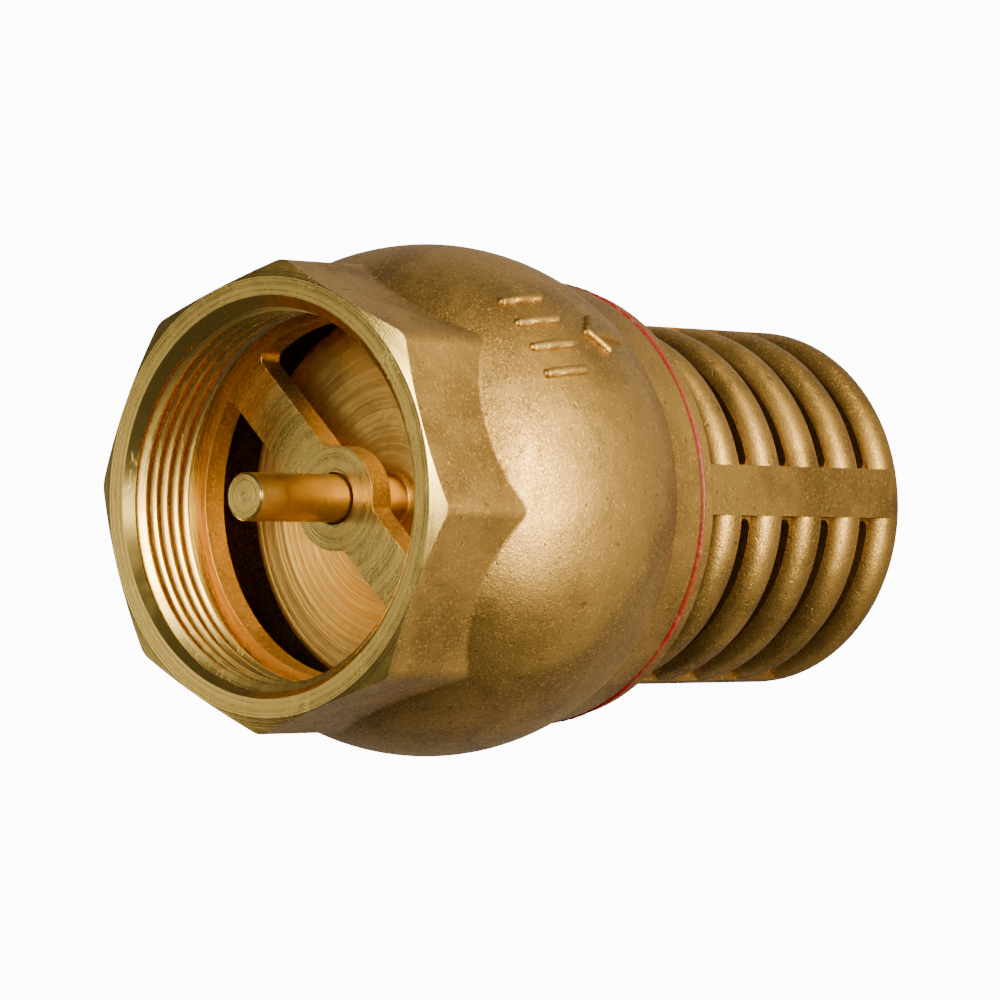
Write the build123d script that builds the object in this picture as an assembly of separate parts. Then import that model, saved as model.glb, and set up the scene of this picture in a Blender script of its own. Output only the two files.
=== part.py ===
"""Brass foot valve with strainer for a 2 inch suction pipe, standing on the base of its strainer.

Water enters through the slots, lifts the valve disc off its seat and leaves through the
threaded outlet on top. The origin is the centre of the base, and +Z points to the outlet.
Sizes are millimetres. Levels are depths below the outlet face, as on a turned drawing, and
above() turns a depth into a height.
"""
from build123d import *
from math import cos, radians, sqrt, tan
import os

HEIGHT = 121.9

# Outlet head: an octagon for a spanner, with a G 2 parallel pipe thread inside
FLATS = 67.0
HEAD_DEPTH = 24.0
HEAD_CORNER_ROUND = 3.2
FACE_RADIUS = 33.4
FACE_CHAMFER = 1.3
MOUTH_RADIUS = 30.5
LEAD_IN = 2.2
PITCH = 2.309
THREAD_MAJOR = 59.614 / 2
THREAD_MINOR = 56.656 / 2
ROOT_FLAT = 0.385
FLANK_ANGLE = 27.5
THREAD_END = 12.5
THREAD_OVERRUN = 1.3
THREAD_POKE = 0.12
THREAD_START_ANGLE = 37.0
SLEEVE_RADIUS = 31.0
UNDERCUT_RADIUS = 29.9

# Web below the thread: a ring crossed by one bridge, whose boss guides the stem
WEB_DEPTH = 15.2
WEB_THICKNESS = 4.1
WINDOW_RADIUS = 27.5
BRIDGE_WIDTH = 8.5
BRIDGE_ANGLE = 49.0
BOSS_RADIUS = 8.1
GUIDE_HOLE = 4.1
WEB_FILLET = 1.5

# Globe and its collar, where the two castings screw together
GLOBE_RADIUS = 40.0
GLOBE_DEPTH = 36.3
GLOBE_TOP = 12.0
GLOBE_WALL = 3.7
CHAMBER_END = 50.5
RUN_OUT_FILLET = 1.2
COLLAR_RADIUS = 35.3
COLLAR_DEPTH = 55.1
COLLAR_ROUND = 0.8
JOINT_DEPTH = 61.5
JOINT_PITCH = 2.0
JOINT_TURNS = 4
JOINT_MAJOR = 32.4
JOINT_MINOR = 31.3
JOINT_THREAD_TOP = 52.0
JOINT_SLACK = 0.04

# Sealant squeezed out of the joint in a thin band
SEALANT_THICKNESS = 0.55
SEALANT_INNER = 33.0
SEALANT_OUTER = 35.1

# Lower casting: threaded spigot with the seat, shoulder, strainer basket and closed base
SHOULDER_RADIUS = 34.8
SHOULDER_DEPTH = 65.0
SHOULDER_ROUND = 0.6
SEAT_DEPTH = 48.0
SEAT_INNER = 24.0
SEAT_OUTER = 27.4
SEAT_LAND = 1.6
SEAT_CHAMFER = 0.6
SPIGOT_TOP = 51.1
SPIGOT_STEP = 0.6
BASKET_BORE = 25.0
BASKET_CREST = 29.3
BASKET_GROOVE = 26.8
FIRST_CREST = 77.33
RIB_PITCH = 10.26
RIB_HEIGHT = 7.06
RIBS = 5
SLOT_HEIGHT = 3.0
SLOT_END_MARGIN = 0.3
STRAPS = 4
STRAP_WIDTH = 8.0
STRAP_ANGLE = 7.4
BASE_THICKNESS = 3.4
BASE_ROUND = 0.8
FOOT_RECESS = 0.8
FOOT_INNER = 19.0

# Lower guide: a second bridge, across the neck of the strainer
LOWER_GUIDE_DEPTH = 57.2
LOWER_GUIDE_THICKNESS = 5.0
LOWER_BRIDGE_WIDTH = 7.0
LOWER_BOSS_RADIUS = 6.5
LOWER_GUIDE_HOLE = 3.25

# Poppet, drawn part open: it closes downwards and opens fully upwards
STEM_TIP = -4.6
STEM_RADIUS = 3.7
STEM_CHAMFER = 0.35
SPINDLE_RADIUS = 2.95
SPINDLE_END = 71.5
DISC_DEPTH = 28.5
DISC_RADIUS = 30.0
DISC_THICKNESS = 4.0
DISC_ROUND = 1.2
HUB_RADIUS = 4.4
HUB_HEIGHT = 0.8
SEAL_RADIUS = 28.8
SEAL_THICKNESS = 2.5
CLAMP_RADIUS = 19.0
CLAMP_THICKNESS = 1.5
SPRING_WASHER_RADIUS = 5.2
SPRING_WASHER_THICKNESS = 1.4
SPRING_WASHER_GAP = 1.2
NUT_FLATS = 10.0
NUT_HEIGHT = 5.0
BOLT_SLACK = 0.02

# Raised casting marks on the globe: a row of bars and, below it, a flow arrow
MARK_DEPTH = 29.5
MARK_ANGLE = -47.0
MARK_STROKE = 0.85
BAR_COUNT = 4
BAR_LENGTH = 7.4
BAR_PITCH = 4.9
ARROW_TIP = -9.5
ARROW_TAIL = -19.5
ARROW_WING = 3.2

ON_FLOOR = (Align.CENTER, Align.CENTER, Align.MIN)


def above(depth):
    """Height over the base of a point this far below the outlet face."""
    return HEIGHT - depth


def globe_radius_at(depth, radius=GLOBE_RADIUS):
    """Distance from the axis to a sphere about the globe's centre, at one depth."""
    return sqrt(radius**2 - (depth - GLOBE_DEPTH) ** 2)


def on_section(points):
    """Points given as (radius, depth), placed on the half section that is turned into a solid."""
    return [(radius, 0, above(depth)) for radius, depth in points]


def turned(points):
    """Revolve a closed outline of (radius, depth) points about the valve's axis."""
    return revolve(make_face(Polyline(*on_section(points), close=True)), Axis.Z)


def ring(outer, inner, top, bottom):
    """A plain turned ring between two depths."""
    return turned([(inner, top), (outer, top), (outer, bottom), (inner, bottom)])


def plug(radius, top, bottom):
    """A solid cylinder on the axis between two depths."""
    return ring(radius, 0, top, bottom)


def turn_about_axis(shape, angle):
    """Turn a shape about the valve's axis by an angle in degrees."""
    return Rot(0, 0, angle) * shape


def slab(plan, top, bottom):
    """A flat piece of one outline between two depths."""
    return Pos(0, 0, above(bottom)) * extrude(plan, bottom - top)


def rim_edges(solid, radius, depth):
    """The circular edges of one radius at one depth."""
    circles = solid.edges().filter_by(GeomType.CIRCLE)
    same_radius = [edge for edge in circles if abs(edge.radius - radius) < 0.02]
    return [edge for edge in same_radius if abs(edge.arc_center.Z - above(depth)) < 0.02]


def rounded(solid, radius, depth, size):
    """Round off the rim of one radius at one depth."""
    return fillet(rim_edges(solid, radius, depth), size)


def chamfered(solid, radius, depth, size):
    """Chamfer the rim of one radius at one depth."""
    return chamfer(rim_edges(solid, radius, depth), size)


def ball(radius, start, end):
    """The part of a ball about the globe's centre between two depths."""
    middle = (start + end) / 2
    arc_points = on_section([(globe_radius_at(depth, radius), depth) for depth in (start, middle, end)])
    sides = Polyline(arc_points[2], (0, 0, above(end)), (0, 0, above(start)), arc_points[0])
    return revolve(make_face(ThreePointArc(*arc_points) + sides), Axis.Z)


def octagon_head():
    """The spanner head: an octagonal prism whose corners are turned off at the outlet face."""
    corner = FLATS / 2 / cos(radians(22.5))
    outline = RegularPolygon(corner, 8)
    outline = fillet(outline.vertices(), HEAD_CORNER_ROUND)
    reach = corner + 2
    chamfer_end = FACE_CHAMFER * (reach - FACE_RADIUS) / (corner - FACE_RADIUS)
    turned_end = turned([(0, 0), (FACE_RADIUS, 0), (reach, chamfer_end), (reach, HEAD_DEPTH), (0, HEAD_DEPTH)])
    return slab(outline, 0, HEAD_DEPTH) & turned_end


def run_out_edges(body):
    """The scalloped edges where the octagon's flats run out into the globe."""
    centre = Vector(0, 0, above(GLOBE_DEPTH))
    near = [edge for edge in body.edges() if above(22) < (edge @ 0.5).Z < above(13)]
    return [edge for edge in near if abs((edge @ 0.5 - centre).length - GLOBE_RADIUS) < 0.05]


def joint_ridges(slack):
    """Outline of the joint thread's ridges from the top down, moved outwards by the slack."""
    points = []
    for turn in range(JOINT_TURNS):
        start = JOINT_THREAD_TOP + JOINT_PITCH * turn
        points.append((JOINT_MINOR + slack, start))
        points.append((JOINT_MAJOR + slack, start + JOINT_PITCH / 2))
    points.append((JOINT_MINOR + slack, JOINT_THREAD_TOP + JOINT_PITCH * JOINT_TURNS))
    return points


def joint_socket():
    """The space in the collar that the lower casting's threaded spigot fills."""
    top = [(0, CHAMBER_END), (JOINT_MINOR + JOINT_SLACK, CHAMBER_END)]
    bottom = [(JOINT_MAJOR, JOINT_DEPTH - 0.5), (JOINT_MAJOR, JOINT_DEPTH), (0, JOINT_DEPTH)]
    return turned(top + joint_ridges(JOINT_SLACK) + bottom)


def outlet_bore():
    """Everything cored or turned out of the upper casting, with room for the threaded sleeve."""
    sleeve_room = plug(SLEEVE_RADIUS, -1, THREAD_END)
    undercut = plug(UNDERCUT_RADIUS, THREAD_END - 1, WEB_DEPTH)
    chamber = ball(GLOBE_RADIUS - GLOBE_WALL, WEB_DEPTH + WEB_THICKNESS, CHAMBER_END)
    return sleeve_room + undercut + chamber + joint_socket()


def outlet_thread_groove():
    """The helical groove of the G 2 thread, from the undercut up and out through the mouth."""
    start = THREAD_END + THREAD_OVERRUN
    reach = THREAD_MAJOR - THREAD_MINOR + THREAD_POKE
    half_root = ROOT_FLAT / 2
    half_mouth = half_root + reach * tan(radians(FLANK_ANGLE))
    helix = Helix(PITCH, start + THREAD_OVERRUN, THREAD_MAJOR, center=(0, 0, above(start)))
    corners = [(-reach, -half_mouth), (0, -half_root), (0, half_root), (-reach, half_mouth)]
    across = Plane(origin=helix @ 0, x_dir=(1, 0, 0), z_dir=helix % 0)
    groove = sweep(across * make_face(Polyline(*corners, close=True)), path=helix, is_frenet=True)
    return turn_about_axis(groove, THREAD_START_ANGLE)


def threaded_sleeve():
    """The inner skin of the mouth, which carries the thread and its lead-in cone."""
    slope = LEAD_IN / (MOUTH_RADIUS - THREAD_MINOR)
    tip_radius = THREAD_MINOR - 0.3
    tip = slope * (MOUTH_RADIUS - tip_radius)
    cone = turned([(0, 0), (MOUTH_RADIUS, 0), (tip_radius, tip), (0, tip)])
    return ring(SLEEVE_RADIUS, THREAD_MINOR, 0, THREAD_END) - outlet_thread_groove() - cone


def web_openings():
    """The two windows beside the bridge, corners rounded, and the hole that guides the stem."""
    bottom = WEB_DEPTH + WEB_THICKNESS + 0.2
    plan = Circle(WINDOW_RADIUS) - Rectangle(3 * WINDOW_RADIUS, BRIDGE_WIDTH) - Circle(BOSS_RADIUS)
    plan = fillet(plan.vertices(), WEB_FILLET)
    windows = turn_about_axis(slab(plan, WEB_DEPTH - 0.2, bottom), BRIDGE_ANGLE)
    return windows + plug(GUIDE_HOLE, WEB_DEPTH - 0.2, bottom)


def on_globe(across, up):
    """A point on the globe's skin, given by its place on the flat plan of the casting marks."""
    rise = (GLOBE_DEPTH - MARK_DEPTH) / GLOBE_RADIUS
    outward = Vector(sqrt(1 - rise**2), 0, rise)
    upward = Vector(-rise, 0, sqrt(1 - rise**2))
    direction = outward * GLOBE_RADIUS + Vector(0, across, 0) + upward * up
    return Vector(0, 0, above(GLOBE_DEPTH)) + direction.normalized() * GLOBE_RADIUS


def cast_stroke(start, end):
    """One raised stroke: a round bead laid on the globe from point to point, with round ends."""
    middle = ((start[0] + end[0]) / 2, (start[1] + end[1]) / 2)
    path = ThreePointArc(on_globe(*start), on_globe(*middle), on_globe(*end))
    bead = sweep(Plane(origin=path @ 0, z_dir=path % 0) * Circle(MARK_STROKE), path=path)
    caps = [Pos(*tuple(on_globe(*point))) * Sphere(MARK_STROKE) for point in (start, end)]
    return bead + caps[0] + caps[1]


def cast_marks():
    """The row of bars round the globe, and the arrow that points to the outlet."""
    half_row = BAR_PITCH * (BAR_COUNT - 1) / 2
    rows = [BAR_PITCH * bar - half_row for bar in range(BAR_COUNT)]
    strokes = [((across, -BAR_LENGTH / 2), (across, BAR_LENGTH / 2)) for across in rows]
    tip, wing = (0, ARROW_TIP), ARROW_TIP - ARROW_WING
    strokes += [((0, ARROW_TAIL), tip), ((-ARROW_WING, wing), tip), ((ARROW_WING, wing), tip)]
    return [turn_about_axis(cast_stroke(*stroke), MARK_ANGLE) for stroke in strokes]


def outlet_body():
    """Upper casting: threaded octagon head, web and bridge, globe, and collar with the joint thread."""
    globe = ball(GLOBE_RADIUS, GLOBE_TOP, COLLAR_DEPTH)
    body = octagon_head() + globe + plug(COLLAR_RADIUS, COLLAR_DEPTH, JOINT_DEPTH)
    body = fillet(run_out_edges(body), RUN_OUT_FILLET)
    body = rounded(body, COLLAR_RADIUS, JOINT_DEPTH, COLLAR_ROUND)
    body = body + cast_marks() - outlet_bore() - web_openings()
    return body + threaded_sleeve()


def joint_sealant():
    """The band of thread sealant between the collar and the shoulder, with a rounded outer edge."""
    bottom = JOINT_DEPTH + SEALANT_THICKNESS
    band = ring(SEALANT_OUTER, SEALANT_INNER, JOINT_DEPTH, bottom)
    band = rounded(band, SEALANT_OUTER, JOINT_DEPTH, 0.2)
    return rounded(band, SEALANT_OUTER, bottom, 0.2)


def spigot():
    """The neck of the lower casting: seat land on top, then the joint thread, down to the shoulder."""
    land = SEAT_DEPTH + SEAT_LAND
    thread_end = JOINT_THREAD_TOP + JOINT_PITCH * JOINT_TURNS
    rim = SEAT_OUTER - SEAT_CHAMFER
    seat = [(0, SEAT_DEPTH), (rim, SEAT_DEPTH), (SEAT_OUTER, SEAT_DEPTH + SEAT_CHAMFER), (SEAT_OUTER, land)]
    top = [(JOINT_MINOR - 2 * SPIGOT_STEP, SPIGOT_TOP), (JOINT_MINOR - SPIGOT_STEP, SPIGOT_TOP + SPIGOT_STEP)]
    relief = JOINT_MINOR - 0.1
    bottom = [(relief, thread_end), (relief, SHOULDER_DEPTH), (0, SHOULDER_DEPTH)]
    return turned(seat + top + joint_ridges(0) + bottom)


def rib_arc(crest):
    """Half-round outline of one rib, as three (radius, depth) points from groove to groove."""
    half = RIB_HEIGHT / 2
    return [(BASKET_GROOVE, crest - half), (BASKET_CREST, crest), (BASKET_GROOVE, crest + half)]


def ribbed_basket():
    """Outside of the strainer: half-round ribs between narrow grooves, the last one cut by the base."""
    arcs = [on_section(rib_arc(FIRST_CREST + RIB_PITCH * rib)) for rib in range(RIBS)]
    start = on_section([(0, SHOULDER_DEPTH - 1), (BASKET_GROOVE, SHOULDER_DEPTH - 1)])
    outline = Polyline(*start, arcs[0][0])
    for arc, following in zip(arcs, arcs[1:]):
        outline += ThreePointArc(*arc) + Line(arc[-1], following[0])
    outline += ThreePointArc(*arcs[-1])
    outline += Polyline(arcs[-1][-1], *on_section([(0, HEIGHT), (0, SHOULDER_DEPTH - 1)]))
    return revolve(make_face(outline), Axis.Z)


def basket_straps():
    """The straps that join the ribs: full-height bars, flush with the crests of the ribs."""
    last_crest = FIRST_CREST + RIB_PITCH * (RIBS - 1)
    bar = slab(Pos(BASKET_CREST - 5, 0) * Rectangle(20, STRAP_WIDTH), SHOULDER_DEPTH - 1, last_crest)
    bar = bar & plug(BASKET_CREST, SHOULDER_DEPTH - 1, last_crest)
    quarter_turns = [STRAP_ANGLE + 360 / STRAPS * strap for strap in range(STRAPS)]
    return Part() + [turn_about_axis(bar, angle) for angle in quarter_turns]


def slot(depth):
    """One slot between the straps on +X and +Y: a gap of even height with half-round ends."""
    radius = SLOT_HEIGHT / 2
    end = STRAP_WIDTH / 2 + SLOT_END_MARGIN + radius
    reach = BASKET_CREST + 2
    centre = Pos(0, 0, above(depth))
    gap = centre * Box(reach, reach, SLOT_HEIGHT, align=(Align.MIN, Align.MIN, Align.CENTER))
    gap = gap - centre * Box(reach, 2 * end, SLOT_HEIGHT + 1, align=(Align.MIN, Align.CENTER, Align.CENTER))
    gap = gap - centre * Box(2 * end, reach, SLOT_HEIGHT + 1, align=(Align.CENTER, Align.MIN, Align.CENTER))
    along_x = centre * Pos(0, end, 0) * Rot(0, 90, 0) * Cylinder(radius, reach, align=ON_FLOOR)
    along_y = centre * Pos(end, 0, 0) * Rot(-90, 0, 0) * Cylinder(radius, reach, align=ON_FLOOR)
    keep_out = Cylinder(BASKET_BORE - 4, 2 * HEIGHT)
    return gap + (along_x - keep_out) + (along_y - keep_out)


def slots():
    """Every slot of the strainer: one in each groove between two ribs, in each quarter."""
    grooves = [FIRST_CREST + RIB_PITCH * (rib + 0.5) for rib in range(RIBS - 1)]
    angles = [STRAP_ANGLE + 360 / STRAPS * quarter for quarter in range(STRAPS)]
    return [turn_about_axis(slot(depth), angle) for depth in grooves for angle in angles]


def inlet_bore():
    """The water way of the lower casting: basket, neck and seat bore, above the closed base."""
    floor = HEIGHT - BASE_THICKNESS
    side = [(SEAT_INNER, SEAT_DEPTH), (SEAT_INNER, SHOULDER_DEPTH - 1.5), (BASKET_BORE, SHOULDER_DEPTH + 1.5)]
    return turned([(0, SEAT_DEPTH), *side, (BASKET_BORE, floor), (0, floor)])


def lower_guide():
    """The lower bridge, in line with the upper one, with the hole for the spindle's end."""
    bottom = LOWER_GUIDE_DEPTH + LOWER_GUIDE_THICKNESS
    plan = Rectangle(2 * SEAT_INNER + 1, LOWER_BRIDGE_WIDTH) + Circle(LOWER_BOSS_RADIUS)
    plan = plan & Circle(SEAT_INNER + 0.3)
    bridge = turn_about_axis(slab(plan, LOWER_GUIDE_DEPTH, bottom), BRIDGE_ANGLE)
    return bridge - plug(LOWER_GUIDE_HOLE, LOWER_GUIDE_DEPTH - 1, bottom + 1)


def strainer_body():
    """Lower casting: threaded spigot with the seat, shoulder, slotted strainer and closed base."""
    top = JOINT_DEPTH + SEALANT_THICKNESS
    basket = rounded(ribbed_basket(), BASKET_GROOVE, HEIGHT, BASE_ROUND)
    body = basket + basket_straps() + plug(SHOULDER_RADIUS, top, SHOULDER_DEPTH)
    body = rounded(body, SHOULDER_RADIUS, top, SHOULDER_ROUND)
    body = rounded(body, SHOULDER_RADIUS, SHOULDER_DEPTH, SHOULDER_ROUND)
    body = body + spigot() - inlet_bore() + lower_guide()
    body = body - slots()
    return body - plug(FOOT_INNER, HEIGHT - FOOT_RECESS, HEIGHT)


def stem():
    """The guide stem: a thick rod above the disc and a thin spindle through it to the lower guide."""
    seat = DISC_DEPTH - HUB_HEIGHT
    rod = chamfered(plug(STEM_RADIUS, STEM_TIP, seat), STEM_RADIUS, STEM_TIP, STEM_CHAMFER)
    spindle = chamfered(plug(SPINDLE_RADIUS, seat, SPINDLE_END), SPINDLE_RADIUS, SPINDLE_END, 0.6)
    return rod + spindle


def valve_disc():
    """The turned disc that carries the seal, with a low hub under the stem's shoulder."""
    bottom = DISC_DEPTH + DISC_THICKNESS
    disc = rounded(plug(DISC_RADIUS, DISC_DEPTH, bottom), DISC_RADIUS, DISC_DEPTH, DISC_ROUND)
    disc = chamfered(disc, DISC_RADIUS, bottom, 0.4)
    hub = plug(HUB_RADIUS, DISC_DEPTH - HUB_HEIGHT, DISC_DEPTH)
    hub = rounded(hub, HUB_RADIUS, DISC_DEPTH - HUB_HEIGHT, 0.4)
    return disc + hub - plug(SPINDLE_RADIUS + BOLT_SLACK, DISC_DEPTH - 2, bottom + 1)


def seal_ring():
    """The flat rubber seal under the disc."""
    top = DISC_DEPTH + DISC_THICKNESS
    seal = ring(SEAL_RADIUS, SPINDLE_RADIUS + BOLT_SLACK, top, top + SEAL_THICKNESS)
    return rounded(seal, SEAL_RADIUS, top + SEAL_THICKNESS, 0.4)


def clamp_plate():
    """The round plate that clamps the seal to the disc."""
    top = DISC_DEPTH + DISC_THICKNESS + SEAL_THICKNESS
    plate = ring(CLAMP_RADIUS, SPINDLE_RADIUS + BOLT_SLACK, top, top + CLAMP_THICKNESS)
    return chamfered(plate, CLAMP_RADIUS, top + CLAMP_THICKNESS, 0.4)


def spring_washer():
    """The split washer under the nut."""
    top = DISC_DEPTH + DISC_THICKNESS + SEAL_THICKNESS + CLAMP_THICKNESS
    bottom = top + SPRING_WASHER_THICKNESS
    cut = slab(Pos(SPRING_WASHER_RADIUS, 0) * Rectangle(2 * SPRING_WASHER_RADIUS, SPRING_WASHER_GAP), top, bottom)
    return ring(SPRING_WASHER_RADIUS, SPINDLE_RADIUS + BOLT_SLACK, top, bottom) - cut


def lock_nut():
    """The hexagon nut that holds the seal and the disc on the spindle."""
    top = DISC_DEPTH + DISC_THICKNESS + SEAL_THICKNESS + CLAMP_THICKNESS + SPRING_WASHER_THICKNESS
    bottom = top + NUT_HEIGHT
    corner = NUT_FLATS / 2 / cos(radians(30))
    bevel = (corner - NUT_FLATS / 2) * tan(radians(30))
    profile = [(NUT_FLATS / 2, top), (corner, top + bevel), (corner, bottom - bevel), (NUT_FLATS / 2, bottom)]
    nut = slab(RegularPolygon(corner, 6), top, bottom) & turned([(0, top), *profile, (0, bottom)])
    return nut - plug(SPINDLE_RADIUS + BOLT_SLACK, top - 1, bottom + 1)


SUB_PARTS = [
    outlet_body,
    joint_sealant,
    strainer_body,
    stem,
    valve_disc,
    seal_ring,
    clamp_plate,
    spring_washer,
    lock_nut,
]


def main():
    """Write one STEP file for each sub-part, named after its function."""
    os.makedirs("parts", exist_ok=True)
    for build in SUB_PARTS:
        export_step(build(), f"parts/{build.__name__}.step")


main()
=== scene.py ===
# %% [markdown]
# # A brass foot valve, dressed
# A foot valve hangs at the bottom of a suction pipe and keeps the pump primed. This one is two
# sand castings of brass screwed together, with a disc on a stem that lifts inside the globe.
# The solid parts come from the CAD model and keep their shape. This lesson gives them their
# finishes, adds the sealant that was squeezed out of the joint, and lights the result.

# %% Load the frame
import math

import bpy
import numpy as np
from mathutils import Matrix, Vector


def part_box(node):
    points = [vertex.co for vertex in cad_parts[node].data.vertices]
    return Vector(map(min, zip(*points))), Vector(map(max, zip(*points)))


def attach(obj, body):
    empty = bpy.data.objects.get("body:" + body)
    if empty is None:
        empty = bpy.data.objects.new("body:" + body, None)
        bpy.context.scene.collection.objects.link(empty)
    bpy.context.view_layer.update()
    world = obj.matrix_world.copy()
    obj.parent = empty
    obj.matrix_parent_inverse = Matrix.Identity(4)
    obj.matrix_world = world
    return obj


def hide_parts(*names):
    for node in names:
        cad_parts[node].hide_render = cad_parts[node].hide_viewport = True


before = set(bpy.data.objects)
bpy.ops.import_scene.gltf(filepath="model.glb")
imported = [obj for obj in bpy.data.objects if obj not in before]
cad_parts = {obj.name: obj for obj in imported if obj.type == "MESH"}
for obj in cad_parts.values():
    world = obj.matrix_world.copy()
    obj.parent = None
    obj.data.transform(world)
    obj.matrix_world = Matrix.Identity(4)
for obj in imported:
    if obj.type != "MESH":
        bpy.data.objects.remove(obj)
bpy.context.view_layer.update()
print("pieces:", sorted(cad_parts))

# %% [markdown]
# ## Levels
# Everything on a turned part is a radius and a level, so the finishes need to know where the
# machining stops. The levels are millimetres below the outlet face, as on the drawing. The top
# of the upper casting is the outlet face, and the box of the sealant band gives the joint.

# %% Name the levels
MM = 0.001
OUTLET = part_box("outlet_body")[1].z
JOINT_LOW, JOINT_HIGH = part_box("joint_sealant")[0].z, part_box("joint_sealant")[1].z
WEB_FACE = 15.2
THREAD_END = 12.1
BORE_RADIUS = 30.7
FACE_RADIUS = 33.4
CORNER_SLOPE = 0.455
CREST_RADIUS, GROOVE_RADIUS = 29.3, 26.8
STEM_TIP = -4.6
SOFT_EDGE = 0.04
print("outlet face at", round(OUTLET / MM, 1), "mm, joint at", round(JOINT_LOW / MM, 1), "mm")

# %% [markdown]
# ## A few words for building node trees
# A material is a chain of nodes. These helpers put one node in a tree and plug values or other
# nodes' outputs into it, so that a recipe below reads as a list of steps.


# %% Node helpers
def fill(tree, node, inputs):
    """Give each named or numbered socket a value, or a link if the value is another node's output."""
    for key, value in inputs.items():
        if isinstance(value, bpy.types.NodeSocket):
            tree.links.new(value, node.inputs[key])
        else:
            node.inputs[key].default_value = value
    return node


def put(tree, kind, inputs=None, **settings):
    """Add one node, set its own settings, then fill its sockets."""
    node = tree.nodes.new(kind)
    for name, value in settings.items():
        setattr(node, name, value)
    return fill(tree, node, inputs or {})


def calc(tree, operation, a, b=0.0, c=0.0):
    """One Math node: the operation on up to three numbers or outputs."""
    return put(tree, "ShaderNodeMath", {0: a, 1: b, 2: c}, operation=operation).outputs[0]


def ramp(tree, value, low, high, to_low=0.0, to_high=1.0):
    """Map a value from one range to another with smooth ends, clamped."""
    inputs = {"Value": value, "From Min": low, "From Max": high, "To Min": to_low, "To Max": to_high}
    return put(tree, "ShaderNodeMapRange", inputs, interpolation_type="SMOOTHSTEP").outputs["Result"]


def tint(tree, amount, first, second):
    """Mix two colours by an amount."""
    inputs = {0: amount, 6: first, 7: second}
    return put(tree, "ShaderNodeMix", inputs, data_type="RGBA").outputs[2]


def between(tree, amount, first, second):
    """Mix two numbers by an amount."""
    return put(tree, "ShaderNodeMix", {0: amount, 2: first, 3: second}, data_type="FLOAT").outputs[0]


def noise(tree, place, size_mm, detail=2.0, roughness=0.5, distortion=0.0):
    """Noise whose lumps are about size_mm across."""
    inputs = {"Vector": place, "Scale": 1 / (size_mm * MM), "Detail": detail}
    inputs |= {"Roughness": roughness, "Distortion": distortion}
    return put(tree, "ShaderNodeTexNoise", inputs).outputs["Fac"]


def weighted_sum(tree, terms):
    """Add up outputs, each times its weight."""
    total = 0.0
    for value, weight in terms:
        total = calc(tree, "MULTIPLY_ADD", value, weight, total)
    return total


def within(tree, value, low, high):
    """1 where the value is between low and high, with soft edges."""
    rise = ramp(tree, value, low - SOFT_EDGE, low + SOFT_EDGE)
    return calc(tree, "MULTIPLY", rise, ramp(tree, value, high - SOFT_EDGE, high + SOFT_EDGE, 1.0, 0.0))


def colour(red, green, blue):
    """An opaque colour from linear red, green and blue."""
    return (red, green, blue, 1.0)


# %% [markdown]
# ## A few words for groups
# Grain, tool marks and wear are used by several materials. Each is built once as a node group
# with named sockets, and placed in every material that needs it.


# %% Group helpers
def new_group(name, inputs, outputs):
    """A node group with number inputs, given as name and default, and number outputs."""
    group = bpy.data.node_groups.new(name, "ShaderNodeTree")
    for label, default in inputs.items():
        socket = group.interface.new_socket(label, in_out="INPUT", socket_type="NodeSocketFloat")
        socket.default_value = default
    for label in outputs:
        group.interface.new_socket(label, in_out="OUTPUT", socket_type="NodeSocketFloat")
    return group, put(group, "NodeGroupInput").outputs


def put_out(group, values):
    """Join the named values to the group's output node."""
    fill(group, put(group, "NodeGroupOutput"), values)
    return group


def use(tree, group, inputs=None):
    """Place a group in a tree, fill its inputs and give its outputs."""
    return put(tree, "ShaderNodeGroup", inputs, node_tree=group).outputs


# %% [markdown]
# ## Where on the valve is this point?
# A lathe works in radius and depth, and so do the finishes. This group reads the object
# coordinates and puts out the distance from the axis and the depth below the outlet face, both
# in millimetres. Every finish that changes from rough to turned uses it. The object's own
# coordinates are used because they move with the piece.


# %% Group: lathe place
def make_lathe_place():
    """Radius is the length of (x, y), and depth is the outlet's height less z."""
    group, _ = new_group("lathe place", {}, ["Radius", "Depth"])
    place = put(group, "ShaderNodeTexCoord").outputs["Object"]
    x, y, z = put(group, "ShaderNodeSeparateXYZ", {0: place}).outputs
    squares = calc(group, "MULTIPLY_ADD", x, x, calc(group, "MULTIPLY", y, y))
    radius = calc(group, "DIVIDE", calc(group, "SQRT", squares), MM)
    depth = calc(group, "DIVIDE", calc(group, "SUBTRACT", OUTLET, z), MM)
    return put_out(group, {"Radius": radius, "Depth": depth})


LATHE_PLACE = make_lathe_place()
print("group:", LATHE_PLACE.name)
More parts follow.
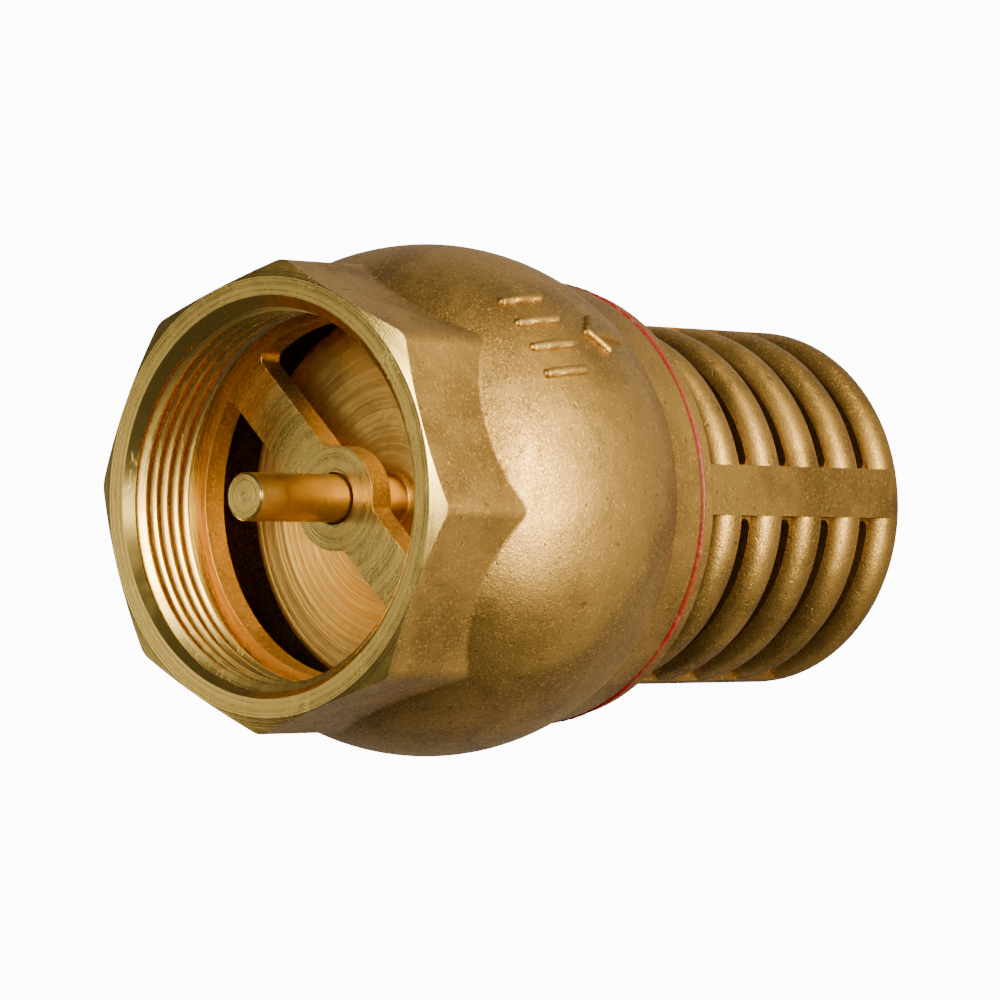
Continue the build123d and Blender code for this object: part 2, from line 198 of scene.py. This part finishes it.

# %% [markdown]
# ## Sand-cast skin
# A sand casting keeps the print of the sand, and grit blasting leaves a fine dull grain that
# sparkles where a facet catches the light. The group adds noises of five sizes, from the slow
# waves of the mould to the grit. It puts out the height in millimetres, a fine light and dark
# grain, a mask of painted glints where a few facets are coloured bright, a slow stain and the
# pits that gas left. The mesh itself could be displaced instead, but grit as fine as this would
# need millions of faces.


# %% Group: casting skin
def make_casting_skin():
    """Height is a weighted sum of noises from 8 mm to 0.18 mm, less a pit where a noise runs low."""
    group, _ = new_group("casting skin", {}, ["Height", "Grain", "Glint", "Stain", "Pit"])
    place = put(group, "ShaderNodeTexCoord").outputs["Object"]
    swell = noise(group, place, 8.0, 2.0)
    lumps = noise(group, place, 1.8, 3.0, 0.6)
    sand = noise(group, place, 0.45, 3.0, 0.6)
    grit = noise(group, place, 0.18, 1.0)
    pit = ramp(group, noise(group, place, 1.3, 1.0), 0.31, 0.25)
    terms = [(swell, 0.16), (lumps, 0.055), (sand, 0.036), (grit, 0.026), (pit, -0.035)]
    height = weighted_sum(group, terms)
    grain = weighted_sum(group, [(sand, 0.5), (grit, 0.5)])
    # Painted glints: a few of these cells are picked to be coloured bright, as facets catching the light.
    facets = put(group, "ShaderNodeTexVoronoi", {"Vector": place, "Scale": 1 / (0.32 * MM)})
    chance = put(group, "ShaderNodeSeparateColor", {0: facets.outputs["Color"]}).outputs[0]
    stain = noise(group, place, 16.0, 4.0, 0.62, 0.5)
    values = {"Height": height, "Grain": ramp(group, grain, 0.34, 0.66), "Stain": stain, "Pit": pit}
    return put_out(group, values | {"Glint": ramp(group, chance, 0.86, 1.0)})


CASTING_SKIN = make_casting_skin()
print("group:", CASTING_SKIN.name)

# %% [markdown]
# ## Marks of the lathe tool
# A turned face is a very fine spiral groove. Noise read from a single number, the way along the
# tool's path, is the same all the way round, and that makes the rings. The path is the radius on
# a face and the depth in a bore, and their sum follows both. A wave texture also draws rings,
# but all of one width, and a tool never leaves them so even.


# %% Group: turning marks
def make_turning_marks():
    """Noise of one number at three spacings: 1.3 mm waves, 0.4 mm ridges and 0.13 mm lines."""
    group, given = new_group("turning marks", {"Along": 0.0, "Seed": 0.0}, ["Height", "Shade"])
    fields = []
    for spacing in (1.3, 0.4, 0.13):
        spot = put(group, "ShaderNodeCombineXYZ", {0: calc(group, "DIVIDE", given["Along"], spacing)})
        fill(group, spot, {1: given["Seed"], 2: spacing})
        inputs = {"Vector": spot.outputs[0], "Scale": 1.0, "Detail": 1.0}
        fields.append(put(group, "ShaderNodeTexNoise", inputs).outputs["Fac"])
    height = weighted_sum(group, zip(fields, (0.010, 0.020, 0.020)))
    shade = weighted_sum(group, zip(fields, (0.2, 0.4, 0.4)))
    return put_out(group, {"Height": height, "Shade": ramp(group, shade, 0.35, 0.65)})


TURNING_MARKS = make_turning_marks()
print("group:", TURNING_MARKS.name)

# %% [markdown]
# ## Scratches and tarnish
# Bright brass picks up hair scratches in every direction and browns in clouds where it was
# handled. A noise stretched long and thin gives lines where it crosses its middle value, and a
# slow noise lets them show only here and there.


# %% Group: wear
def make_wear():
    """Scratch is where a stretched noise is near its middle, and tarnish a slow noise with detail."""
    group, _ = new_group("wear", {}, ["Scratch", "Tarnish"])
    place = put(group, "ShaderNodeTexCoord").outputs["Object"]
    scratch = 0.0
    for turn, stretch in ((0.6, 9.0), (2.1, 12.0)):
        inputs = {"Vector": place, "Rotation": (turn, 0.4, 2 * turn), "Scale": (1.0, stretch, 1.0)}
        field = noise(group, put(group, "ShaderNodeMapping", inputs).outputs[0], 9.0, 2.0, 0.6, 0.6)
        band = calc(group, "ABSOLUTE", calc(group, "SUBTRACT", field, 0.5))
        shown = ramp(group, noise(group, place, 5.0 + stretch / 4), 0.50, 0.60)
        line = calc(group, "MULTIPLY", ramp(group, band, 0.008, 0.0), shown)
        scratch = calc(group, "MAXIMUM", scratch, line)
    tarnish = ramp(group, noise(group, place, 7.0, 5.0, 0.65, 0.8), 0.42, 0.66)
    return put_out(group, {"Scratch": scratch, "Tarnish": tarnish})


WEAR = make_wear()
print("group:", WEAR.name)

# %% [markdown]
# ## Two brasses
# The colour of a metal is in its reflection, so both finishes are fully metallic and differ in
# colour, roughness and relief. Blasted brass is a rough brown tan, because its skin is oxide and
# grit as much as metal. Turned brass is yellow, smoother, and ringed.

# %% Colours of brass
CAST_TAN = colour(0.440, 0.240, 0.048)
CAST_BROWN = colour(0.195, 0.097, 0.017)
CAST_GRAIN_AND_GLINT = colour(0.880, 0.490, 0.110)
TURNED_YELLOW = colour(0.900, 0.580, 0.125)
TURNED_PALE = colour(0.980, 0.660, 0.145)
TURNED_DULL = colour(0.500, 0.330, 0.080)
DRAWN_AMBER = colour(0.800, 0.450, 0.060)
BORE_PAINTED_LIGHT = colour(0.960, 0.740, 0.300)
CAST_DULL, CAST_SMOOTH = 0.50, 0.37
GRAIN_SHOWS, GLINT_SHOWS, PIT_SHOWS = 0.36, 0.55, 0.60
TURNED_ROUGH, RIDGE_ROUGH, TARNISH_ROUGH = 0.20, 0.10, 0.06
RIDGE_SHOWS, TARNISH_SHOWS, SCRATCH_SHOWS = 0.60, 0.30, 0.40
print("cast skin is", CAST_SMOOTH, "to", CAST_DULL, "rough, turned skin from", TURNED_ROUGH)


# %% Finish recipes
def cast_finish(tree):
    """Colour, roughness and height of blasted brass."""
    skin = use(tree, CASTING_SKIN)
    base = tint(tree, ramp(tree, skin["Stain"], 0.36, 0.68), CAST_TAN, CAST_BROWN)
    base = tint(tree, calc(tree, "MULTIPLY", skin["Grain"], GRAIN_SHOWS), base, CAST_GRAIN_AND_GLINT)
    # Painted glints: the picked facets are tinted bright.
    base = tint(tree, calc(tree, "MULTIPLY", skin["Glint"], GLINT_SHOWS), base, CAST_GRAIN_AND_GLINT)
    base = tint(tree, calc(tree, "MULTIPLY", skin["Pit"], PIT_SHOWS), base, CAST_BROWN)
    return base, ramp(tree, skin["Grain"], 0.0, 1.0, CAST_DULL, CAST_SMOOTH), skin["Height"]


def turned_finish(
    tree, along, seed=0.0, yellow=TURNED_YELLOW, pale=TURNED_PALE, rough=TURNED_ROUGH, relief=1.0
):
    """Colour, roughness and height of turned brass whose tool ran along the given number."""
    marks = use(tree, TURNING_MARKS, {"Along": along, "Seed": seed})
    wear = use(tree, WEAR)
    base = tint(tree, calc(tree, "MULTIPLY", marks["Shade"], RIDGE_SHOWS), yellow, pale)
    base = tint(tree, calc(tree, "MULTIPLY", wear["Tarnish"], TARNISH_SHOWS), base, TURNED_DULL)
    base = tint(tree, calc(tree, "MULTIPLY", wear["Scratch"], SCRATCH_SHOWS), base, TURNED_PALE)
    smooth = ramp(tree, marks["Shade"], 0.0, 1.0, rough + RIDGE_ROUGH, rough)
    rough = calc(tree, "MULTIPLY_ADD", wear["Tarnish"], TARNISH_ROUGH, smooth)
    height = weighted_sum(tree, [(wear["Scratch"], -0.005), (marks["Height"], relief)])
    return base, rough, height


def new_material(name):
    """An empty material: its tree and its Principled shader, joined to the output."""
    material = bpy.data.materials.new(name)
    material.use_nodes = True
    tree = material.node_tree
    tree.nodes.clear()
    shader = put(tree, "ShaderNodeBsdfPrincipled")
    put(tree, "ShaderNodeOutputMaterial", {0: shader.outputs[0]})
    return material, tree, shader


def blend(tree, mask, under, over):
    """The finish that is under where the mask is 0 and over where it is 1."""
    rough, height = (between(tree, mask, under[part], over[part]) for part in (1, 2))
    return tint(tree, mask, under[0], over[0]), rough, height


def finish(tree, shader, base, rough, height, metallic=1.0):
    """Join a finish to the shader. Heights are in millimetres."""
    bump = put(tree, "ShaderNodeBump", {"Height": height, "Distance": MM})
    inputs = {"Base Color": base, "Roughness": rough, "Metallic": metallic}
    fill(tree, shader, inputs | {"Normal": bump.outputs[0]})


# %% [markdown]
# ## The upper casting
# One casting carries both brasses. The lathe reached the mouth: the bore down to the web, the
# ring of the outlet face, and the corners of the octagon that the facing cut turned off. A mask
# of radius and depth picks them out, so the border is as crisp as a tool leaves it. Two
# materials on chosen faces would do as well, but one with a mask keeps the mesh as it came.
# Below the thread the bore is tinted paler down to the web, as painted light in the deep band.


# %% Outlet body
def outlet_turned(tree, place):
    """1 in the bore down to the web's upper face, and above the cone of the turned corners.

    The cone starts at the edge of the outlet face and falls by its slope for each step outwards.
    """
    in_bore = ramp(tree, place["Radius"], BORE_RADIUS, BORE_RADIUS + SOFT_EDGE, 1.0, 0.0)
    above_web = ramp(tree, place["Depth"], WEB_FACE + 0.02, WEB_FACE + 0.10, 1.0, 0.0)
    outside = calc(tree, "MAXIMUM", calc(tree, "SUBTRACT", place["Radius"], FACE_RADIUS), 0.0)
    cone = calc(tree, "MULTIPLY_ADD", outside, CORNER_SLOPE, 0.10)
    above_cone = ramp(tree, calc(tree, "SUBTRACT", cone, place["Depth"]), -0.04, 0.04)
    return calc(tree, "MAXIMUM", calc(tree, "MULTIPLY", in_bore, above_web), above_cone)


def outlet_material():
    """Blasted brass outside, turned brass where the lathe reached."""
    material, tree, shader = new_material("cast brass, turned outlet")
    place = use(tree, LATHE_PLACE)
    mask = outlet_turned(tree, place)
    along = calc(tree, "ADD", place["Radius"], place["Depth"])
    base, rough, height = turned_finish(tree, along)
    # Painted light: the band from the thread's end to the web is tinted paler.
    base = tint(tree, within(tree, place["Depth"], THREAD_END, WEB_FACE - 0.12), base, BORE_PAINTED_LIGHT)
    finish(tree, shader, *blend(tree, mask, cast_finish(tree), (base, rough, height)))
    return material


def dress(node, material):
    """Give a CAD node one material."""
    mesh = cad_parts[node].data
    mesh.materials.clear()
    mesh.materials.append(material)
    print(node, "wears", material.name)


dress("outlet_body", outlet_material())

# %% [markdown]
# ## The strainer
# The lower casting is blasted all over. The colour darkens from the crests inwards, as painted
# shade in the grooves between the ribs. An occlusion node could find the grooves, but they all
# run round the axis, and the radius alone says how deep a point lies.


# %% Strainer body
def strainer_material():
    """Blasted brass, browner and darker towards the bottom of the grooves, as painted shade."""
    material, tree, shader = new_material("cast brass, strainer")
    place = use(tree, LATHE_PLACE)
    base, rough, height = cast_finish(tree)
    # Painted shade: the colour is tinted brown towards the groove floors.
    groove_shade = ramp(tree, place["Radius"], CREST_RADIUS - 0.4, GROOVE_RADIUS - 0.2)
    base = tint(tree, calc(tree, "MULTIPLY", groove_shade, 0.6), base, CAST_BROWN)
    finish(tree, shader, base, rough, height)
    return material


dress("strainer_body", strainer_material())

# %% [markdown]
# ## The moving parts
# The disc, the clamp plate and the nut are turned from bar, and their rings follow the radius.
# The disc was faced with a coarse feed, so its rings are deeper and catch the light in a fan.
# The stem is drawn rod, which comes out amber and smooth along its length; only its end was
# faced.


# %% Turned and drawn pieces
def turned_material(name, seed, **look):
    """Turned metal all over. The look may change the colours, the roughness and the relief."""
    material, tree, shader = new_material(name)
    place = use(tree, LATHE_PLACE)
    along = calc(tree, "ADD", place["Radius"], place["Depth"])
    finish(tree, shader, *turned_finish(tree, along, seed, **look))
    return material


def stem_material():
    """Amber drawn rod whose end face was turned bright."""
    material, tree, shader = new_material("drawn brass stem")
    place = use(tree, LATHE_PLACE)
    faced = ramp(tree, place["Depth"], STEM_TIP + 0.30, STEM_TIP + 0.40, 1.0, 0.0)
    end = turned_finish(tree, place["Radius"], seed=3.0)
    half_depth = calc(tree, "MULTIPLY", place["Depth"], 0.5)
    rod = turned_finish(tree, half_depth, 9.0, DRAWN_AMBER, DRAWN_AMBER, rough=0.28)
    finish(tree, shader, *blend(tree, faced, rod, end))
    return material


dress("valve_disc", turned_material("turned brass disc", 1.0, rough=0.30, relief=3.0))
dress("clamp_plate", turned_material("turned brass plate", 2.0))
dress("lock_nut", turned_material("turned brass nut", 4.0))
dress("stem", stem_material())

# %% [markdown]
# ## Rubber and spring steel
# The seal is moulded nitrile rubber with a faint bloom. The washer is bright spring steel with
# drawing lines round it. Both stay inside the valve, and show only through the slots.


# %% Seal and washer
def rubber_material():
    """Near-black rubber with a grey bloom and a soft orange-peel relief."""
    material, tree, shader = new_material("black rubber")
    place = put(tree, "ShaderNodeTexCoord").outputs["Object"]
    bloom = ramp(tree, noise(tree, place, 5.0, 4.0, 0.6), 0.40, 0.70)
    base = tint(tree, bloom, colour(0.012, 0.012, 0.013), colour(0.040, 0.038, 0.036))
    relief = calc(tree, "MULTIPLY", noise(tree, place, 0.6), 0.02)
    finish(tree, shader, base, ramp(tree, bloom, 0.0, 1.0, 0.50, 0.72), relief, metallic=0.0)
    return material


dress("seal_ring", rubber_material())
GREY, LIGHT_GREY = colour(0.46, 0.45, 0.43), colour(0.66, 0.65, 0.63)
dress("spring_washer", turned_material("spring steel", 6.0, yellow=GREY, pale=LIGHT_GREY))

# %% [markdown]
# ## Sealant
# Red sealant was brushed on the joint thread, and screwing the castings together squeezed a
# little of it out. It sits in the groove between the collar and the shoulder, as a bead of
# uneven thickness. A curve with a round bevel would be quick, but the same all the way round,
# and the real bead was left as it came. So the bead is a grid of points: one row for each angle
# round the valve, one column for each angle round the bead's own section, with both radii
# changed by slow waves.


# %% Bead of sealant
BEAD_RADIUS = 34.82


def waves(turn, orders, seed):
    """Sum of cosines round the valve with random phases, each weighted by one over its order's root."""
    chance = np.random.default_rng(seed)
    phases = chance.uniform(0, 2 * np.pi, len(orders))
    total = sum(np.cos(order * turn + phase) / order**0.5 for order, phase in zip(orders, phases))
    return total / sum(order**-0.5 for order in orders)


def bead_points(rounds=900, sides=14):
    """An oval section carried round the axis at the bead's radius, all in millimetres.

    The point is the radius plus bulge times cosine, and the middle plus thickness times sine, of
    the angle round the section. Bulge, thickness and middle are each a mean plus slow waves.
    """
    turn = np.linspace(0, 2 * np.pi, rounds, endpoint=False)[:, None]
    side = np.linspace(0, 2 * np.pi, sides, endpoint=False)[None, :]
    thick = 0.36 + 0.10 * waves(turn, (3, 7, 13, 29, 61), 4) + 0.05 * waves(turn, (90, 140, 210), 5)
    bulge = 0.62 + 0.14 * waves(turn, (2, 5, 11, 23, 47), 6) + 0.04 * waves(turn, (110, 170), 7)
    middle = (JOINT_LOW + JOINT_HIGH) / 2 / MM + 0.10 * waves(turn, (2, 5, 9, 17), 8)
    radius = BEAD_RADIUS + bulge * np.cos(side)
    z = middle + thick * np.sin(side)
    return np.stack([radius * np.cos(turn), radius * np.sin(turn), z], axis=-1) * MM


def grid_piece(name, points):
    """A mesh from a grid of points that closes on itself both ways."""
    rows, columns = points.shape[:2]
    index = np.arange(rows * columns).reshape(rows, columns)
    corners = [index, np.roll(index, -1, 0), np.roll(np.roll(index, -1, 0), -1, 1), np.roll(index, -1, 1)]
    faces = np.stack(corners, axis=-1).reshape(-1, 4)
    mesh = bpy.data.meshes.new(name)
    mesh.from_pydata(points.reshape(-1, 3).tolist(), [], faces.tolist())
    mesh.polygons.foreach_set("use_smooth", np.ones(len(faces), dtype=bool))
    piece = bpy.data.objects.new(name, mesh)
    bpy.context.scene.collection.objects.link(piece)
    return piece


def sealant_material():
    """Red paste, orange where it is thin and dusty pink where it was wiped."""
    material, tree, shader = new_material("red sealant")
    place = put(tree, "ShaderNodeTexCoord").outputs["Object"]
    thin = ramp(tree, noise(tree, place, 9.0, 3.0), 0.42, 0.60)
    wiped = ramp(tree, noise(tree, place, 2.2, 4.0, 0.7), 0.56, 0.70)
    base = tint(tree, thin, colour(0.290, 0.006, 0.006), colour(0.230, 0.034, 0.005))
    base = tint(tree, calc(tree, "MULTIPLY", wiped, 0.6), base, colour(0.300, 0.110, 0.090))
    relief = calc(tree, "MULTIPLY", noise(tree, place, 0.5, 2.0), 0.06)
    finish(tree, shader, base, ramp(tree, wiped, 0.0, 1.0, 0.35, 0.65), relief, metallic=0.0)
    return material


bead = grid_piece("sealant_bead", bead_points())
bead.data.materials.append(sealant_material())
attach(bead, "valve_body")
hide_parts("joint_sealant")
print("bead:", len(bead.data.polygons), "faces")

# %% [markdown]
# ## Floor
# The valve stands on plain pale paper. White paper is easily brighter than brass, and the brass
# would mirror it everywhere. So the paper is a dim grey to the brass and shines for the eye
# alone, which the Light Path node can tell apart. The same node makes the room behind it white.


# %% Floor
PAPER_GLOW = 12.0
PAPER_GREY = colour(0.24, 0.24, 0.23)
FLOOR_RADIUS = 3.0


def floor():
    """A large pale disc just under the valve, clear from below so that the base can be looked at."""
    turn = np.linspace(0, 2 * np.pi, 96, endpoint=False)
    level = np.full_like(turn, -0.1 * MM)
    rim = np.column_stack([FLOOR_RADIUS * np.cos(turn), FLOOR_RADIUS * np.sin(turn), level])
    mesh = bpy.data.meshes.new("floor")
    mesh.from_pydata(rim.tolist(), [], [list(range(len(rim)))])
    piece = bpy.data.objects.new("floor", mesh)
    bpy.context.scene.collection.objects.link(piece)
    material, tree, shader = new_material("pale paper")
    seen = put(tree, "ShaderNodeLightPath").outputs["Is Camera Ray"]
    glow = {"Emission Color": colour(1, 1, 1), "Emission Strength": calc(tree, "MULTIPLY", seen, PAPER_GLOW)}
    above = calc(tree, "SUBTRACT", 1.0, put(tree, "ShaderNodeNewGeometry").outputs["Backfacing"])
    fill(tree, shader, glow | {"Base Color": PAPER_GREY, "Roughness": 0.9, "Alpha": above})
    mesh.materials.append(material)
    print("floor:", 2 * FLOOR_RADIUS, "m across")


floor()

# %% [markdown]
# ## Light
# Metal shows its surroundings, so a soft studio is a few bright panels in a dim room. A low
# panel in front makes the long highlight on the globe, one overhead catches the threads and the
# turned corners, one at the side fills the ribs, one beside the camera softens the shadows, and
# one behind lies in the outlet's ring. A spot lamp with a narrow beam reaches down the bore.


# %% Softboxes
def hang(name, data, place, aim):
    """Put a lamp in its place, turned to its aim and hidden from the camera."""
    light = bpy.data.objects.new(name, data)
    bpy.context.scene.collection.objects.link(light)
    light.location = place
    light.rotation_euler = (Vector(place) - Vector(aim)).to_track_quat("Z", "Y").to_euler()
    light.visible_camera = False
    print(name, "lamp:", round(data.energy, 1), "W")


def softbox(name, place, aim, width, height, radiance):
    """An area light whose power gives its panel that brightness."""
    data = bpy.data.lights.new(name, "AREA")
    data.shape = "RECTANGLE"
    data.size, data.size_y = width, height
    data.energy = radiance * math.pi * width * height
    hang(name, data, place, aim)


MIDDLE = (0, 0, 0.07)
softbox("low front", (0.06, -0.30, 0.10), (0, 0, 0.085), 0.28, 0.08, 30.0)
softbox("overhead", (0.17, -0.06, 0.72), MIDDLE, 0.40, 0.20, 22.0)
softbox("side", (0.46, -0.26, 0.06), (0, 0, 0.05), 0.24, 0.16, 5.0)
softbox("beside the camera", (0.10, -0.60, 0.80), MIDDLE, 0.24, 0.22, 3.0)
softbox("behind", (-0.22, 0.80, 0.57), MIDDLE, 0.5, 0.4, 2.4)


# %% Snoot and room
def snoot(name, place, aim, beam, size, power):
    """A spot lamp with a narrow beam, in degrees, that lights the mouth of the valve only."""
    data = bpy.data.lights.new(name, "SPOT")
    data.spot_size, data.spot_blend = math.radians(beam), 0.5
    data.shadow_soft_size, data.energy = size, power
    hang(name, data, place, aim)


snoot("down the bore", (0.16, -0.42, 0.85), (0, 0.006, 0.110), 4.4, 0.05, 24.0)
ROOM_GLOW = 0.06

world = bpy.data.worlds.new("dim room")
bpy.context.scene.world = world
world.use_nodes = True
room = world.node_tree
seen = put(room, "ShaderNodeLightPath").outputs["Is Camera Ray"]
strength = calc(room, "MULTIPLY_ADD", seen, PAPER_GLOW, ROOM_GLOW)
fill(room, room.nodes["Background"], {0: colour(1, 1, 1), 1: strength})

# %% [markdown]
# ## Camera
# A long lens from above the outlet, rolled on its side, so that the valve seems to lie with its
# outlet to the left.

# %% Camera
AZIMUTH, ELEVATION, ROLL = 2.08, 48.74, 88.77
DISTANCE, LENS = 0.848, 192.5
AIM = Vector((0.0003, 0, 0.0681))


def camera():
    """Look at the aim point from an azimuth and elevation, rolled about the line of sight."""
    azimuth, elevation = math.radians(AZIMUTH), math.radians(ELEVATION)
    flat = math.cos(elevation)
    out = Vector((flat * math.sin(azimuth), -flat * math.cos(azimuth), math.sin(elevation)))
    data = bpy.data.cameras.new("camera")
    data.lens = LENS
    data.clip_start = 0.01
    view = bpy.data.objects.new("camera", data)
    bpy.context.scene.collection.objects.link(view)
    facing = out.to_track_quat("Z", "Y").to_matrix().to_4x4()
    rolled = facing @ Matrix.Rotation(-math.radians(ROLL), 4, "Z")
    view.matrix_world = Matrix.Translation(AIM + out * DISTANCE) @ rolled
    bpy.context.scene.camera = view
    print("camera:", DISTANCE, "m away with a", LENS, "mm lens")


camera()
